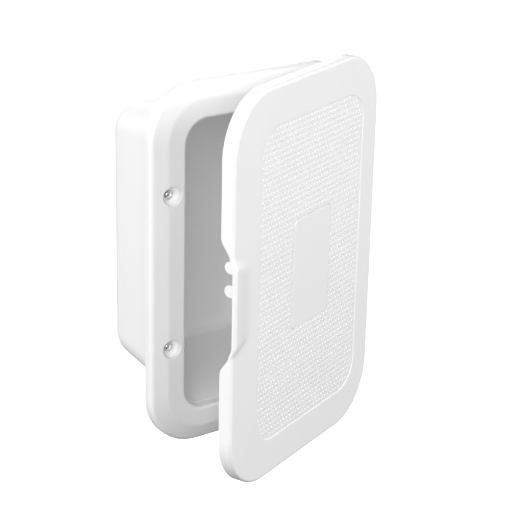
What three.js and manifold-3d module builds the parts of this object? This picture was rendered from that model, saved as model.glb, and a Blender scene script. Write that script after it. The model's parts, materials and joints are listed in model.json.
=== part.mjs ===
// Recessed wall box with a hinged door, in millimetres, +Z up.
// X runs along the wall, +Y goes into the wall, and the room is on the -Y side.
// Origin: centre of the box opening, in the plane of the wall that the bezel lies on.
// The pieces are drawn with Y = 0 at the bezel's outer front edge, and moved at the end.

import * as THREE from 'three';
import { mergeVertices } from 'three/addons/utils/BufferGeometryUtils.js';
import Module from 'manifold-3d';

const wasm = await Module();
wasm.setup();

// ---- driving dimensions ------------------------------------------------------------------

const GAP = 0.3;                  // running and seating clearance between separate pieces

const BEZEL_W = 184;              // bezel, overall
const BEZEL_H = 285;
const BEZEL_R = 41;
const BEZEL_BACK = 8.5;           // back plane of the bezel, which lies on the wall
const RIDGE_IN = 13.2;            // the bezel slopes from its edge up to a ridge this far in
const RIDGE_UP = 4.3;             // height of the ridge and the flat inner band above Y = 0
const OPENING_W = 128;
const OPENING_H = 229;
const OPENING_R = 19;
const OPENING_ROUND = 2.7;        // the opening's front edge is rounded over
const SKIN = 3;                   // moulded wall thickness of the bezel
const EDGE_RIB = 8.5;             // solid band inside the bezel's outer edge
const GROOVE_W = 4;               // groove for the wall seal, in that band
const GROOVE_DEEP = 5;

const TUB_LIP_FRONT = 5;          // the tub's own flange, inside the hollow back of the bezel
const TUB_LIP_BACK = 8.2;
const TUB_LIP_IN = 12;            // width of that flange beyond the opening
const TUB_BACK = 111;
const TUB_WALL = 2.5;
const TUB_R = 24;
const TUB_BACK_R = 12;
const TUB_DRAFT_SIDE = 0.105;     // share of the width lost between mouth and back
const TUB_DRAFT_TOP = 0.135;      // the same of the height above the middle, and below it
const TUB_DRAFT_BOTTOM = 0.065;

const DOOR_W = 199;
const DOOR_H = 300;
const DOOR_R = 45;
const DOOR_Z = 1.5;               // height of the door's centre
const DOOR_REAR = -5.6;           // rear edge of the door's skirt when shut
const DOOR_DEEP = 10.8;           // depth of the skirt, to the front face
const DOOR_PLATE = 3.6;
const DOOR_WALL = 2.6;
const DOOR_EDGE_R = 2.4;
const DOOR_AJAR = 22;             // the door is stored open by this many degrees
const DOOR_FRONT = DOOR_REAR - DOOR_DEEP;
const PLATE_REAR = DOOR_FRONT + DOOR_PLATE;

const FIELD_W = 144;              // sunk field on the door's face
const FIELD_H = 242;
const FIELD_R = 23;
const FIELD_X = 6;
const FIELD_DEEP = 0.4;
const LABEL_W = 52;               // smooth insert in the field
const LABEL_H = 86;
const LABEL_R = 4;
const LABEL_X = 7.2;
const LABEL_DEEP = 1.6;           // depth of its pocket from the door's face
const LABEL_SUNK = 0.1;

const NOTCH_WIDE = 51.5;          // half height of the finger notch at the skirt's rear edge
const NOTCH_NARROW = 38.5;        // and at the plate
const GRIP_UP = 2.6;              // the plate flares forward by this much in the notch
const GRIP_IN = 25;               // and the flare dies out this far in from the edge
const GRIP_HALF = 38;             // half length of the flare at the plate
const GRIP_FLAT = 27;             // and of its crest

const HINGE_X = 96;               // hinge axis
const HINGE_Y = -3.6;
const HINGE_Z = 85;               // height of each hinge above and below the door's centre
const PIN_R = 1.5;
const KNUCKLE_R = 3;
const EAR_LONG = 14;              // the bezel's ear between the door's two knuckles
const KNUCKLE_LONG = 8;

const SCREW_X = 75.7;             // wall screws
const SCREW_Z = 60;
const CUP_R = 7.5;                // round cup in the bezel for each
const CUP_DEEP = 5.6;
const WELL_R = 3.9;               // narrower well in the cup's floor, where the head seats
const WELL_DEEP = 1.9;
const SCREW_HOLE_R = 2.4;
const BOSS_R = 11;
const WALL_HEAD_R = 2.8;
const WALL_HEAD_UP = 2.4;
const WALL_HEAD_SIDE = 0.8;        // straight side of the head, below its dome
const WALL_SHANK_R = 1.95;
const WALL_SHANK_LONG = 28;
const WALL_POINT = 4;

const TONGUE_X = -61.5;           // outer face of the latch tongues when shut
const TONGUE_THICK = 3;
const TONGUE_W = 9.5;
const TONGUE_TIP = 16;
const TONGUE_Z = 6;               // middle of the pair
const TONGUE_SPACING = 18.3;

// ---- materials ---------------------------------------------------------------------------

const plastic = (color, roughness) => new THREE.MeshStandardMaterial({ color, roughness, metalness: 0 });
const metal = (color, roughness) => new THREE.MeshStandardMaterial({ color, roughness, metalness: 1 });

const bezelWhite = plastic(0xeeeff0, 0.42);
const tubWhite = plastic(0xe6e8e9, 0.5);
const doorWhite = plastic(0xf1f2f2, 0.4);
const labelWhite = plastic(0xf3f4f4, 0.3);
const tongueWhite = plastic(0xf1f2f2, 0.4);
const sealRubber = plastic(0xb9bcbe, 0.85);
const sealFoam = plastic(0x3a3c3e, 0.95);
const screwSteel = metal(0xc9cccf, 0.22);
const pinSteel = metal(0xb4b7ba, 0.3);
const zincSteel = metal(0xa9acae, 0.4);

// ---- solids ------------------------------------------------------------------------------

function toSolid(geometry) {
  const bare = geometry.index ? geometry.toNonIndexed() : geometry.clone();
  bare.deleteAttribute('normal');
  bare.deleteAttribute('uv');
  const merged = mergeVertices(bare, 1e-4);
  return new wasm.Manifold(new wasm.Mesh({
    numProp: 3,
    vertProperties: new Float32Array(merged.attributes.position.array),
    triVerts: new Uint32Array(merged.index.array),
  }));
}

function toGeometry(solid) {
  const mesh = solid.getMesh();
  const geometry = new THREE.BufferGeometry();
  geometry.setAttribute('position', new THREE.BufferAttribute(mesh.vertProperties, 3));
  geometry.setIndex(new THREE.BufferAttribute(mesh.triVerts, 1));
  geometry.computeVertexNormals();
  return geometry;
}

function box(x0, x1, y0, y1, z0, z1) {
  const geometry = new THREE.BoxGeometry(x1 - x0, y1 - y0, z1 - z0);
  geometry.translate((x0 + x1) / 2, (y0 + y1) / 2, (z0 + z1) / 2);
  return toSolid(geometry);
}

// A rounded rectangle drawn in the wall's plane: the shape's x is X and its y is Z.
function roundedRect(width, height, radius, x = 0, z = 0) {
  const w = width / 2;
  const h = height / 2;
  const shape = new THREE.Shape();
  shape.moveTo(x - w + radius, z - h);
  shape.lineTo(x + w - radius, z - h);
  shape.absarc(x + w - radius, z - h + radius, radius, -Math.PI / 2, 0);
  shape.lineTo(x + w, z + h - radius);
  shape.absarc(x + w - radius, z + h - radius, radius, 0, Math.PI / 2);
  shape.lineTo(x - w + radius, z + h);
  shape.absarc(x - w + radius, z + h - radius, radius, Math.PI / 2, Math.PI);
  shape.lineTo(x - w, z - h + radius);
  shape.absarc(x - w + radius, z - h + radius, radius, Math.PI, Math.PI * 1.5);
  return shape;
}

// Extrudes a wall-plane shape from y0 back to y1. The front edge, the back edge or neither
// is drawn in by `inset` over a depth of `rise`: one step gives a slope, more give a round.
function slab(shape, y0, y1, { edge = 'none', inset = 0, rise = 0, steps = 1, curve = 8 } = {}) {
  const spare = 5;
  const bevelled = edge !== 'none';
  const start = edge === 'front' ? y0 + rise : y0 - (bevelled ? spare : 0);
  const end = edge === 'back' ? y1 - rise : y1 + (bevelled ? spare : 0);
  const geometry = new THREE.ExtrudeGeometry(shape, {
    depth: end - start,
    curveSegments: curve,
    bevelEnabled: bevelled,
    bevelSize: inset,
    bevelOffset: -inset,
    bevelThickness: rise,
    bevelSegments: steps,
  });
  geometry.rotateX(Math.PI / 2);
  geometry.translate(0, end, 0);
  const solid = toSolid(geometry);
  if (edge === 'front') return solid.subtract(box(-500, 500, y1, y1 + 50, -500, 500));
  if (edge === 'back') return solid.subtract(box(-500, 500, y0 - 50, y0, -500, 500));
  return solid;
}

// A turned piece on an axis along Y: the profile is a list of [radius, y], from axis to axis.
function turnedY(profile, x, z, sides = 20) {
  const points = profile.map(([radius, y]) => new THREE.Vector2(radius, y));
  const geometry = new THREE.LatheGeometry(points, sides);
  geometry.translate(x, 0, z);
  return toSolid(geometry);
}

// The same on an axis along Z: the profile is a list of [radius, z].
function turnedZ(profile, x, y, sides = 16) {
  const points = profile.map(([radius, z]) => new THREE.Vector2(radius, z));
  const geometry = new THREE.LatheGeometry(points, sides);
  geometry.rotateX(Math.PI / 2);
  geometry.translate(x, y, 0);
  return toSolid(geometry);
}

function rodY(radius, y0, y1, x, z, sides = 20) {
  return turnedY([[0, y0], [radius, y0], [radius, y1], [0, y1]], x, z, sides);
}

function rodZ(radius, z0, z1, x, y, sides = 16) {
  return turnedZ([[0, z0], [radius, z0], [radius, z1], [0, z1]], x, y, sides);
}

function ring(outer, inner, y0, y1) {
  return slab(outer, y0, y1).subtract(slab(inner, y0 - 1, y1 + 1));
}

// ---- places that repeat ------------------------------------------------------------------

const HINGES = [['upper', DOOR_Z + HINGE_Z], ['lower', DOOR_Z - HINGE_Z]];

const WALL_SCREWS = [];
for (const [side, sx] of [['left', -1], ['right', 1]]) {
  for (const [level, sz] of [['upper', 1], ['lower', -1]]) {
    WALL_SCREWS.push([`wall_screw_${side}_${level}`, sx * SCREW_X, sz * SCREW_Z]);
  }
}

const TUB_SCREW_R = 1.4;
const TUB_SCREW_X = OPENING_W / 2 + 7.5;
const TUB_SCREW_Z = OPENING_H / 2 + 7.5;
const TUB_SCREWS = [
  ['tub_screw_left_upper', -TUB_SCREW_X, 90],
  ['tub_screw_left_middle', -TUB_SCREW_X, 0],
  ['tub_screw_left_lower', -TUB_SCREW_X, -90],
  ['tub_screw_right_upper', TUB_SCREW_X, 90],
  ['tub_screw_right_middle', TUB_SCREW_X, 0],
  ['tub_screw_right_lower', TUB_SCREW_X, -90],
  ['tub_screw_top', 0, TUB_SCREW_Z],
  ['tub_screw_bottom', 0, -TUB_SCREW_Z],
];

// ---- bezel -------------------------------------------------------------------------------

function makeBezel() {
  const front = -RIDGE_UP;
  const outline = roundedRect(BEZEL_W, BEZEL_H, BEZEL_R);
  let body = slab(outline, front, BEZEL_BACK, { edge: 'front', inset: RIDGE_IN, rise: RIDGE_UP });

  // Hollow back between the edge band and the collar round the opening.
  const collar = SKIN;
  const pocketOuter = roundedRect(BEZEL_W - 2 * EDGE_RIB, BEZEL_H - 2 * EDGE_RIB, BEZEL_R - EDGE_RIB);
  const pocketInner = roundedRect(OPENING_W + 2 * collar, OPENING_H + 2 * collar, OPENING_R + collar);
  let hollow = slab(pocketOuter, front + SKIN, BEZEL_BACK + 1, { edge: 'front', inset: 4, rise: 2 });
  hollow = hollow.subtract(slab(pocketInner, front, TUB_LIP_FRONT - GAP));
  for (const [, x, z] of WALL_SCREWS) hollow = hollow.subtract(rodY(BOSS_R, front, BEZEL_BACK, x, z, 24));
  for (const [, x, z] of TUB_SCREWS) hollow = hollow.subtract(rodY(4, front, TUB_LIP_FRONT - GAP, x, z));
  body = body.subtract(hollow);

  // The tub's flange passes in front of the wall screws' bosses, which are cut clear of it.
  body = body.subtract(slab(tubLipShape(GAP), TUB_LIP_FRONT - GAP, BEZEL_BACK + 1));
  body = body.subtract(slab(roundedRect(OPENING_W, OPENING_H, OPENING_R), front - 5, BEZEL_BACK + 5));
  for (const cutter of openingRound(front)) body = body.subtract(cutter);

  const inset = EDGE_RIB - GROOVE_W;
  const grooveOuter = roundedRect(BEZEL_W - inset, BEZEL_H - inset, BEZEL_R - inset / 2);
  const grooveInner = roundedRect(BEZEL_W - inset - 2 * GROOVE_W, BEZEL_H - inset - 2 * GROOVE_W,
    BEZEL_R - inset / 2 - GROOVE_W);
  body = body.subtract(ring(grooveOuter, grooveInner, BEZEL_BACK - GROOVE_DEEP, BEZEL_BACK + 1));

  for (const [, x, z] of WALL_SCREWS) {
    body = body.subtract(rodY(CUP_R, front - 2, front + CUP_DEEP, x, z, 28));
    body = body.subtract(rodY(WELL_R, front, front + CUP_DEEP + WELL_DEEP, x, z, 20));
    body = body.subtract(rodY(SCREW_HOLE_R, front, BEZEL_BACK + 1, x, z, 16));
  }
  for (const [, x, z] of TUB_SCREWS) {
    body = body.subtract(rodY(TUB_SCREW_R + GAP, TUB_LIP_FRONT - 6, TUB_LIP_FRONT + 1, x, z, 12));
  }
  for (const [, z] of HINGES) body = body.add(hingeEar(z));
  return body;
}

// Sloped cutters whose flats together round over the opening's front edge. Each flat is a chord
// of the round, carried on to the front face and to the opening's wall.
function openingRound(front) {
  const flats = 3;
  const half = Math.PI / 4 / flats;
  const cutters = [];
  for (let i = 0; i < flats; i += 1) {
    const lean = half * (2 * i + 1);
    const away = OPENING_ROUND * (Math.sin(lean) + Math.cos(lean) - Math.cos(half));
    const inset = away / Math.sin(lean);
    const rise = away / Math.cos(lean);
    const mouth = roundedRect(OPENING_W + 2 * inset, OPENING_H + 2 * inset, OPENING_R + inset);
    cutters.push(slab(mouth, front, front + rise, { edge: 'back', inset, rise }));
  }
  return cutters;
}

// One ear: a knuckle on the hinge axis with a web back to the bezel's side.
function hingeEar(z) {
  const half = EAR_LONG / 2;
  const web = box(BEZEL_W / 2 - 2, HINGE_X - 0.6, HINGE_Y, BEZEL_BACK - 2, z - half, z + half);
  const knuckle = rodZ(KNUCKLE_R, z - half, z + half, HINGE_X, HINGE_Y);
  return knuckle.add(web).subtract(rodZ(PIN_R + GAP, z - half - 1, z + half + 1, HINGE_X, HINGE_Y));
}

// ---- tub ---------------------------------------------------------------------------------

function tubLipShape(extra = 0) {
  const wide = 2 * (TUB_LIP_IN + extra);
  return roundedRect(OPENING_W + wide, OPENING_H + wide, OPENING_R + TUB_LIP_IN + extra);
}

// Draws the tub's sides in towards the back, so that it leaves its mould.
function drafted(solid) {
  return solid.warp((v) => {
    const t = Math.min(Math.max((v[1] - TUB_LIP_BACK) / (TUB_BACK - TUB_LIP_BACK), 0), 1);
    v[0] *= 1 - TUB_DRAFT_SIDE * t;
    v[2] *= 1 - (v[2] > 0 ? TUB_DRAFT_TOP : TUB_DRAFT_BOTTOM) * t;
  });
}

function makeTub() {
  const w = OPENING_W;
  const h = OPENING_H;
  const t = TUB_WALL;
  const outerShape = roundedRect(w + 2 * t, h + 2 * t, TUB_R);
  const innerShape = roundedRect(w, h, TUB_R - t);
  const round = { edge: 'back', inset: TUB_BACK_R, rise: TUB_BACK_R, steps: 4 };
  const roundIn = { edge: 'back', inset: TUB_BACK_R - t, rise: TUB_BACK_R - t, steps: 4 };
  const outer = drafted(slab(outerShape, TUB_LIP_FRONT, TUB_BACK, round));
  const inner = drafted(slab(innerShape, TUB_LIP_FRONT - 5, TUB_BACK - t, roundIn));
  let tub = outer.add(slab(tubLipShape(), TUB_LIP_FRONT, TUB_LIP_BACK)).subtract(inner);
  for (const [, x, z] of TUB_SCREWS) {
    tub = tub.subtract(rodY(TUB_SCREW_R + GAP, TUB_LIP_FRONT - 1, TUB_LIP_BACK + 1, x, z, 12));
  }
  // Scallops in the flange clear the bosses of the wall screws.
  for (const [, x, z] of WALL_SCREWS) {
    tub = tub.subtract(rodY(SCREW_HOLE_R + 1.6, TUB_LIP_FRONT - 1, TUB_LIP_BACK + 1, x, z, 16));
  }
  return tub;
}

// ---- door, drawn shut --------------------------------------------------------------------

function makeDoor() {
  const outline = roundedRect(DOOR_W, DOOR_H, DOOR_R, 0, DOOR_Z);
  const inner = roundedRect(DOOR_W - 2 * DOOR_WALL, DOOR_H - 2 * DOOR_WALL, DOOR_R - DOOR_WALL, 0, DOOR_Z);
  const round = { edge: 'front', inset: DOOR_EDGE_R, rise: DOOR_EDGE_R, steps: 3 };
  let door = slab(outline, DOOR_FRONT, DOOR_REAR, round);
  door = door.add(gripFlare(0)).subtract(slab(inner, PLATE_REAR, DOOR_REAR + 5));
  door = door.subtract(gripFlare(DOOR_PLATE));
  door = door.subtract(fingerNotch());

  const field = roundedRect(FIELD_W, FIELD_H, FIELD_R, FIELD_X, DOOR_Z);
  const label = roundedRect(LABEL_W, LABEL_H, LABEL_R, LABEL_X, DOOR_Z);
  door = door.subtract(slab(field, DOOR_FRONT - 1, DOOR_FRONT + FIELD_DEEP));
  door = door.subtract(slab(label, DOOR_FRONT - 1, DOOR_FRONT + LABEL_DEEP));

  // Pads that carry the latch tongues.
  for (const z of tongueHeights()) {
    const pad = box(TONGUE_X - 3, TONGUE_X + TONGUE_THICK + 3, PLATE_REAR - 0.5, PLATE_REAR + 3,
      z - TONGUE_W / 2 - 2.5, z + TONGUE_W / 2 + 2.5);
    const socket = box(TONGUE_X - GAP, TONGUE_X + TONGUE_THICK + GAP, PLATE_REAR, PLATE_REAR + 4,
      z - TONGUE_W / 2 - GAP, z + TONGUE_W / 2 + GAP);
    door = door.add(pad).subtract(socket);
  }
  return door.subtract(hingeClearance()).add(doorKnuckles());
}

// The forward flare of the plate at the notch, moved back by `back`.
function gripFlare(back) {
  const x0 = -DOOR_W / 2 + (back > 0 ? -1 : 0);
  const face = DOOR_FRONT + back;
  const wedge = new THREE.Shape();
  wedge.moveTo(x0, -face - 0.01);
  wedge.lineTo(x0 + GRIP_IN, -face - 0.01);
  wedge.lineTo(x0 + 3, -face + GRIP_UP);
  wedge.lineTo(x0 + 1, -face + GRIP_UP - 0.3);
  wedge.lineTo(x0, -face + GRIP_UP - 1.6);
  const geometry = new THREE.ExtrudeGeometry(wedge, { depth: 2, steps: 1, bevelEnabled: false });
  geometry.translate(0, 0, -1);
  // Shape x, y and depth become X, -Y and Z; the ends slope away above the plate.
  const position = geometry.attributes.position;
  for (let i = 0; i < position.count; i += 1) {
    const x = position.getX(i);
    const up = position.getY(i) + face;
    const end = Math.sign(position.getZ(i));
    const reach = GRIP_HALF + (GRIP_FLAT - GRIP_HALF) * Math.max(up, 0) / GRIP_UP;
    position.setXYZ(i, x, face - up, DOOR_Z + end * reach);
  }
  return toSolid(flipped(geometry));
}

function flipped(geometry) {
  const position = geometry.attributes.position;
  for (let i = 0; i < position.count; i += 3) {
    const a = new THREE.Vector3().fromBufferAttribute(position, i);
    const b = new THREE.Vector3().fromBufferAttribute(position, i + 1);
    position.setXYZ(i, b.x, b.y, b.z);
    position.setXYZ(i + 1, a.x, a.y, a.z);
  }
  return geometry;
}

// A trapezoid cut through the skirt at the free edge.
function fingerNotch() {
  const cut = new THREE.Shape();
  cut.moveTo(PLATE_REAR, -NOTCH_NARROW);
  cut.lineTo(DOOR_REAR, -NOTCH_WIDE);
  cut.lineTo(DOOR_REAR + 5, -NOTCH_WIDE);
  cut.lineTo(DOOR_REAR + 5, NOTCH_WIDE);
  cut.lineTo(DOOR_REAR, NOTCH_WIDE);
  cut.lineTo(PLATE_REAR, NOTCH_NARROW);
  const depth = DOOR_WALL + 3;
  const geometry = new THREE.ExtrudeGeometry(cut, { depth, bevelEnabled: false });
  // Shape x, y and depth become Y, Z and X.
  geometry.rotateX(Math.PI / 2);
  geometry.rotateZ(Math.PI / 2);
  geometry.translate(-DOOR_W / 2 - 2, 0, DOOR_Z);
  return toSolid(geometry);
}

function hingeClearance() {
  let cut = null;
  for (const [, z] of HINGES) {
    const half = EAR_LONG / 2 + 0.4;
    const bore = rodZ(KNUCKLE_R + 0.6, z - half, z + half, HINGE_X, HINGE_Y, 24);
    const way = box(HINGE_X - 6, DOOR_W / 2 + 1, HINGE_Y - KNUCKLE_R - 0.6, HINGE_Y + 10, z - half, z + half);
    const both = bore.add(way);
    cut = cut ? cut.add(both) : both;
  }
  return cut;
}

// Two knuckles beside each ear, joined to the inside of the skirt.
function doorKnuckles() {
  let all = null;
  for (const [, z] of HINGES) {
    for (const end of [-1, 1]) {
      const near = z + end * (EAR_LONG / 2 + 0.4);
      const far = near + end * KNUCKLE_LONG;
      const low = Math.min(near, far);
      const high = Math.max(near, far);
      const knuckle = rodZ(KNUCKLE_R, low, high, HINGE_X, HINGE_Y);
      const web = box(HINGE_X - 1.5, DOOR_W / 2 - DOOR_WALL / 2, PLATE_REAR - 0.5, HINGE_Y, low, high);
      const bore = rodZ(PIN_R + GAP, low - 1, high + 1, HINGE_X, HINGE_Y);
      const piece = knuckle.add(web).subtract(bore);
      all = all ? all.add(piece) : piece;
    }
  }
  return all;
}

function tongueHeights() {
  return [TONGUE_Z + TONGUE_SPACING / 2, TONGUE_Z - TONGUE_SPACING / 2];
}

// A flat springy finger with a half-round tip, seen from the side: Y by Z.
function makeTongue(z) {
  const w = TONGUE_W / 2;
  const root = PLATE_REAR + GAP;
  const outline = new THREE.Shape();
  outline.moveTo(root, -w);
  outline.lineTo(TONGUE_TIP - w, -w);
  outline.absarc(TONGUE_TIP - w, 0, w, -Math.PI / 2, Math.PI / 2);
  outline.lineTo(root, w);
  const geometry = new THREE.ExtrudeGeometry(outline, {
    depth: TONGUE_THICK - 1,
    curveSegments: 12,
    bevelEnabled: true,
    bevelSize: 0.5,
    bevelOffset: -0.5,
    bevelThickness: 0.5,
    bevelSegments: 2,
  });
  geometry.rotateX(Math.PI / 2);
  geometry.rotateZ(Math.PI / 2);
  geometry.translate(TONGUE_X + 0.5, 0, z);
  return toSolid(geometry);
}

function makeLabel() {
  const shape = roundedRect(LABEL_W - 2 * GAP, LABEL_H - 2 * GAP, LABEL_R - GAP, LABEL_X, DOOR_Z);
  const eased = { edge: 'front', inset: 0.3, rise: 0.3 };
  return slab(shape, DOOR_FRONT + LABEL_SUNK, DOOR_FRONT + LABEL_DEEP - GAP, eased);
}

// ---- seals and fasteners -----------------------------------------------------------------

function makeDoorSeal() {
  const width = 6;
  const mid = 7.5;
  const outer = 2 * (mid + width / 2);
  const inner = 2 * (mid - width / 2);
  const outerShape = roundedRect(OPENING_W + outer, OPENING_H + outer, OPENING_R + outer / 2);
  const innerShape = roundedRect(OPENING_W + inner, OPENING_H + inner, OPENING_R + inner / 2);
  return ring(outerShape, innerShape, PLATE_REAR + GAP, -RIDGE_UP - GAP);
}

function makeWallSeal() {
  const inset = EDGE_RIB - GROOVE_W + 2 * GAP;
  const width = GROOVE_W - 2 * GAP;
  const outer = roundedRect(BEZEL_W - inset, BEZEL_H - inset, BEZEL_R - inset / 2);
  const inner = roundedRect(BEZEL_W - inset - 2 * width, BEZEL_H - inset - 2 * width,
    BEZEL_R - inset / 2 - width);
  return ring(outer, inner, BEZEL_BACK - GROOVE_DEEP + GAP, BEZEL_BACK);
}

// Domed head in the cup's well, shank back through the wall.
function makeWallScrew(x, z) {
  const seat = -RIDGE_UP + CUP_DEEP + WELL_DEEP - GAP;
  const crown = seat - WALL_HEAD_SIDE;
  const tip = seat + WALL_SHANK_LONG;
  const steps = 4;
  const profile = [];
  for (let i = 0; i <= steps; i += 1) {
    const a = Math.PI / 2 * i / steps;
    profile.push([WALL_HEAD_R * Math.sin(a), crown - (WALL_HEAD_UP - WALL_HEAD_SIDE) * Math.cos(a)]);
  }
  profile.push([WALL_HEAD_R, seat], [WALL_SHANK_R, seat], [WALL_SHANK_R, tip - WALL_POINT], [0, tip]);
  return turnedY(profile, x, z, 20);
}

function makeTubScrew(x, z) {
  const seat = TUB_LIP_BACK + GAP;
  const headR = 2.8;
  const profile = [[0, seat - 8], [TUB_SCREW_R, seat - 7], [TUB_SCREW_R, seat], [headR, seat],
    [headR, seat + 0.9], [1.7, seat + 1.6], [0, seat + 1.8]];
  return turnedY(profile, x, z, 12);
}

function makeHingePin(z) {
  const half = EAR_LONG / 2 + KNUCKLE_LONG + 0.4;
  const head = 1.9;
  const top = z + half + GAP;
  const profile = [[0, z - half], [PIN_R, z - half], [PIN_R, top], [head, top], [head, top + 0.8],
    [0, top + 1.4]];
  return turnedZ(profile, HINGE_X, HINGE_Y);
}

// ---- assembly ----------------------------------------------------------------------------

const object = new THREE.Group();
const fixed = new THREE.Group();
const doorGroup = new THREE.Group();
fixed.position.y = -BEZEL_BACK;
object.add(fixed);

function place(parent, name, solid, material) {
  const mesh = new THREE.Mesh(toGeometry(solid), material);
  mesh.name = name;
  parent.add(mesh);
  return mesh;
}

place(fixed, 'bezel', makeBezel(), bezelWhite);
place(fixed, 'tub', makeTub(), tubWhite);
place(fixed, 'wall_seal', makeWallSeal(), sealFoam);
for (const [name, x, z] of WALL_SCREWS) place(fixed, name, makeWallScrew(x, z), screwSteel);
for (const [name, x, z] of TUB_SCREWS) place(fixed, name, makeTubScrew(x, z), zincSteel);
for (const [level, z] of HINGES) place(fixed, `hinge_pin_${level}`, makeHingePin(z), pinSteel);

place(doorGroup, 'door', makeDoor(), doorWhite);
place(doorGroup, 'label_plate', makeLabel(), labelWhite);
place(doorGroup, 'door_seal', makeDoorSeal(), sealRubber);
for (const [index, z] of tongueHeights().entries()) {
  place(doorGroup, `latch_tongue_${index === 0 ? 'upper' : 'lower'}`, makeTongue(z), tongueWhite);
}

// The door turns about the hinge axis: the pieces move to the axis, turn, and come back.
const pivot = new THREE.Group();
pivot.position.set(HINGE_X, HINGE_Y, 0);
pivot.rotation.z = THREE.MathUtils.degToRad(DOOR_AJAR);
doorGroup.position.set(-HINGE_X, -HINGE_Y, 0);
pivot.add(doorGroup);
fixed.add(pivot);

export default object;
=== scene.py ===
# Recessed wall box with a hinged door: the finished pieces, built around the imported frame.
# Pieces are drawn in millimetres in the frame's own axes: the wall's plane is y = 0, the box goes
# back along +y, the room is on the -y side, and +z is up. They become metres as meshes.
import json
import math

import bmesh
import bpy
from mathutils import Matrix, Vector
from mathutils.geometry import delaunay_2d_cdt


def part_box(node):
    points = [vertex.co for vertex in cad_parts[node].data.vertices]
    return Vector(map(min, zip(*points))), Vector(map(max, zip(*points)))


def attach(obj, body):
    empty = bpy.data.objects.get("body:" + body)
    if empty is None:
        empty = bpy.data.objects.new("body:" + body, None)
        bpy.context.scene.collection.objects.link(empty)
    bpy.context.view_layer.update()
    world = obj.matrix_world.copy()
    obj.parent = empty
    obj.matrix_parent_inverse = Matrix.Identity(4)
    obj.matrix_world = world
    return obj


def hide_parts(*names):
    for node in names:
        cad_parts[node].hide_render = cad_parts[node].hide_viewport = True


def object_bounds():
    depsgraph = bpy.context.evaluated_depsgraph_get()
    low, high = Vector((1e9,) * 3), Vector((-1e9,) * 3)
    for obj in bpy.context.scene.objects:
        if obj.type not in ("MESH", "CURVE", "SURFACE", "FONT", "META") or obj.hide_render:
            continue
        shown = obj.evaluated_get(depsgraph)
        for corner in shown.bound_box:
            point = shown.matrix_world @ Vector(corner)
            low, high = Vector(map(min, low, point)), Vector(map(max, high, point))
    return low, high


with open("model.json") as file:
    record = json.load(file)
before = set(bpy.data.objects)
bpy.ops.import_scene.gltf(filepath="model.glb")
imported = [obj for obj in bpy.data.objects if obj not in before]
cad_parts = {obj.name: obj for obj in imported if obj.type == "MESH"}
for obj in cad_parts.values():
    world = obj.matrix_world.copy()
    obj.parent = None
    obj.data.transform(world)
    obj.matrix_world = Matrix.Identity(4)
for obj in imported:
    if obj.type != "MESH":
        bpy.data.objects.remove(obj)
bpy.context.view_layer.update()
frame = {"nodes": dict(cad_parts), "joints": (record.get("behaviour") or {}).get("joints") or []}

# ---- bezel -----------------------------------------------------------------------------------
# The frame that covers the cut edge of the wall: one moulding in white plastic. A sloped outer
# band rises to a flat inner band, whose edge rolls over into the opening. The back is hollow,
# with a groove for the wall seal, a boss behind each wall screw and two ears for the hinges.

MM = 0.001
BEZEL_W, BEZEL_H, BEZEL_R = 184.0, 285.0, 41.0
OPENING_W, OPENING_H, OPENING_R = 128.0, 229.0, 19.0
BEZEL_R_LOSS = (BEZEL_R - OPENING_R) / ((BEZEL_W - OPENING_W) / 2)
SIDE_STEPS = 24
CORNER_STEPS = 20

# Across the bezel: distance in from the outer edge, y, and how far each corner is rounded.
BEZEL_SECTION = (
    (0, 0, 0.3), (0, -8.5, 3.4), (13.2, -12.8, 1.6), (28, -12.8, 2.7), (28, -3.8, 0.2),
    (25, -3.8, 0.3), (25, -9.8, 1.0), (12.5, -9.8, 1.0),
    (8.5, -7.8, 0.5), (8.5, 0, 0.3), (6.25, 0, 0.2), (6.25, -5, 0.3), (2.25, -5, 0.3), (2.25, 0, 0.2),
)
BAND_Y = -12.8                    # the flat inner band
CEILING_Y = -9.8                  # the underside of the skin, in the hollow back
COLLAR_Y = -3.8                   # the tub's flange starts here
CUP_R, CUP_FLOOR_Y = 7.5, -7.2    # round cup for each wall screw
WELL_R, WELL_FLOOR_Y = 3.9, -5.3  # and a narrower well in its floor, where the head seats
DISH_R, DISH_STEPS = 2.8, 6       # the cup's floor curves up into its wall
BOSS_R = 11.0
HOLE_R = 2.4
TUB_BOSS_R, TUB_HOLE_R = 4.0, 1.7  # for each screw that holds the tub
EAR_LONG, KNUCKLE_R, PIN_BORE_R = 14.0, 3.0, 1.8


def spread(count):
    """Shares of a side at which a ring has points, its ends left out."""
    return [(i + 1) / (count + 1) for i in range(count)]


def rounded_outline(width, height, radius, x=0.0, z=0.0, along=spread(SIDE_STEPS), across=spread(12)):
    """Points (x, z) round a rounded rectangle, with as many on every ring drawn with the same shares."""
    w, h = width / 2 - radius, height / 2 - radius
    along_back = [1 - s for s in reversed(along)]
    corners = ((w, -h, -90, along), (w, h, 0, across), (-w, h, 90, along_back), (-w, -h, 180, across))
    points = []
    for i, (cx, cz, start, shares) in enumerate(corners):
        for k in range(CORNER_STEPS + 1):
            a = math.radians(start + 90 * k / CORNER_STEPS)
            points.append((x + cx + radius * math.cos(a), z + cz + radius * math.sin(a)))
        nx, nz = corners[(i + 1) % 4][:2]
        a = math.radians(start + 90)
        end = (x + nx + radius * math.cos(a), z + nz + radius * math.sin(a))
        begin = points[-1]
        for s in shares:
            points.append((begin[0] + (end[0] - begin[0]) * s, begin[1] + (end[1] - begin[1]) * s))
    return points


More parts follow.
